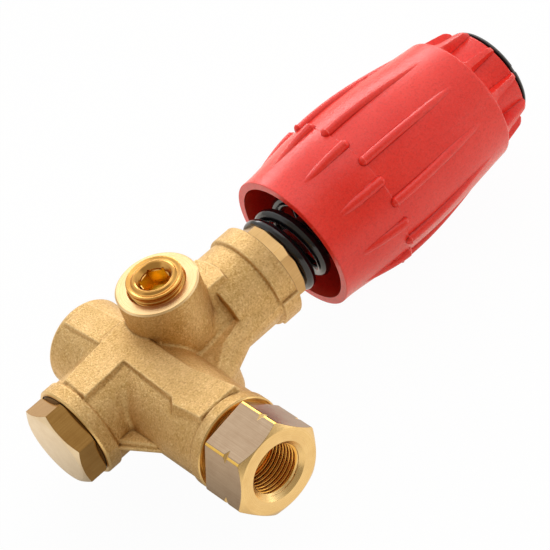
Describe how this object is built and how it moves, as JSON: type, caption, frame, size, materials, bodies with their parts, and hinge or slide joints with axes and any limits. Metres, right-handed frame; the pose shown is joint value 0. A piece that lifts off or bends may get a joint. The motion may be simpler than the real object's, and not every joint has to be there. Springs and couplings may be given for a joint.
{
  "type": "pressure washer unloader valve",
  "caption": "Brass unloader valve for a pressure washer: inlet, outlet with non-return valve, bypass port, and a red knob on a spring that sets the relief pressure.",
  "frame": {"origin": "on the inlet port's axis where its full thread begins, just inside the mouth chamfer", "axes": "+Y out of the inlet port, -Y out of the outlet port, +X parallel to the knob axis towards the knob (the knob axis crosses the flow axis 23.745 mm behind the origin), +Z out of the plugged boss"},
  "size_m": [0.1801, 0.0873, 0.0529],
  "materials": {
    "forged_brass": "blasted matte, fine forging grain",
    "machined_brass": "turned and drawn, fine tool lines",
    "plated_brass": "bright turned",
    "seal_rubber": "matte",
    "stainless_steel": "turned",
    "zinc_steel": "zinc plated",
    "spring_black": "gloss black coating",
    "white_plastic": "moulded",
    "knob_red": "satin moulded, fine spark-eroded grain",
    "cap_black": "satin moulded"
  },
  "bodies": {
    "valve": {"valve_body": "forged_brass", "bottom_plug": "machined_brass", "bottom_plug_oring": "seal_rubber", "outlet_fitting": "machined_brass", "outlet_oring": "seal_rubber", "check_seat": "stainless_steel", "check_seat_oring": "seal_rubber", "check_guide": "white_plastic", "check_spring": "stainless_steel", "bypass_seat": "stainless_steel", "bypass_seat_oring": "seal_rubber", "bonnet": "machined_brass", "bonnet_oring": "seal_rubber", "stem_oring": "seal_rubber", "stem_wiper": "seal_rubber", "main_spring": "spring_black", "bypass_plug": "plated_brass"},
    "stem": {"stem": "stainless_steel", "bypass_shutter": "stainless_steel", "shutter_nut": "stainless_steel", "pilot_piston": "machined_brass", "piston_oring": "seal_rubber", "piston_backup_rings": "white_plastic", "piston_nut": "stainless_steel", "stop_nuts": "zinc_steel"},
    "spring_carrier": {"spring_plate": "zinc_steel", "thrust_washer": "machined_brass"},
    "knob": {"knob": "knob_red", "knob_insert": "machined_brass", "knob_cap": "cap_black"},
    "check_valve": {"check_poppet": "stainless_steel", "check_poppet_seal": "seal_rubber"}
  },
  "joints": [
    {"name": "bypass_open", "type": "slide", "parent": "valve", "child": "stem", "axis": [-1, 0, 0], "range_m": [0, 0.0025], "deforming": ["main_spring"]},
    {"name": "knob_advance", "type": "slide", "parent": "stem", "child": "spring_carrier", "axis": [-1, 0, 0], "range_m": [0, 0.009], "deforming": ["main_spring"]},
    {"name": "knob_turn", "type": "hinge", "parent": "spring_carrier", "child": "knob", "pos_m": [0.11, -0.02374, 0], "axis": [-1, 0, 0], "range_deg": [0, 2160]},
    {"name": "check_open", "type": "slide", "parent": "valve", "child": "check_valve", "axis": [0, -1, 0], "range_m": [0, 0.003], "deforming": ["check_spring"]}
  ],
  "couplings": [
    {"joint": "knob_advance", "follows": "knob_turn", "m_per_rad": 0.0002387}
  ]
}
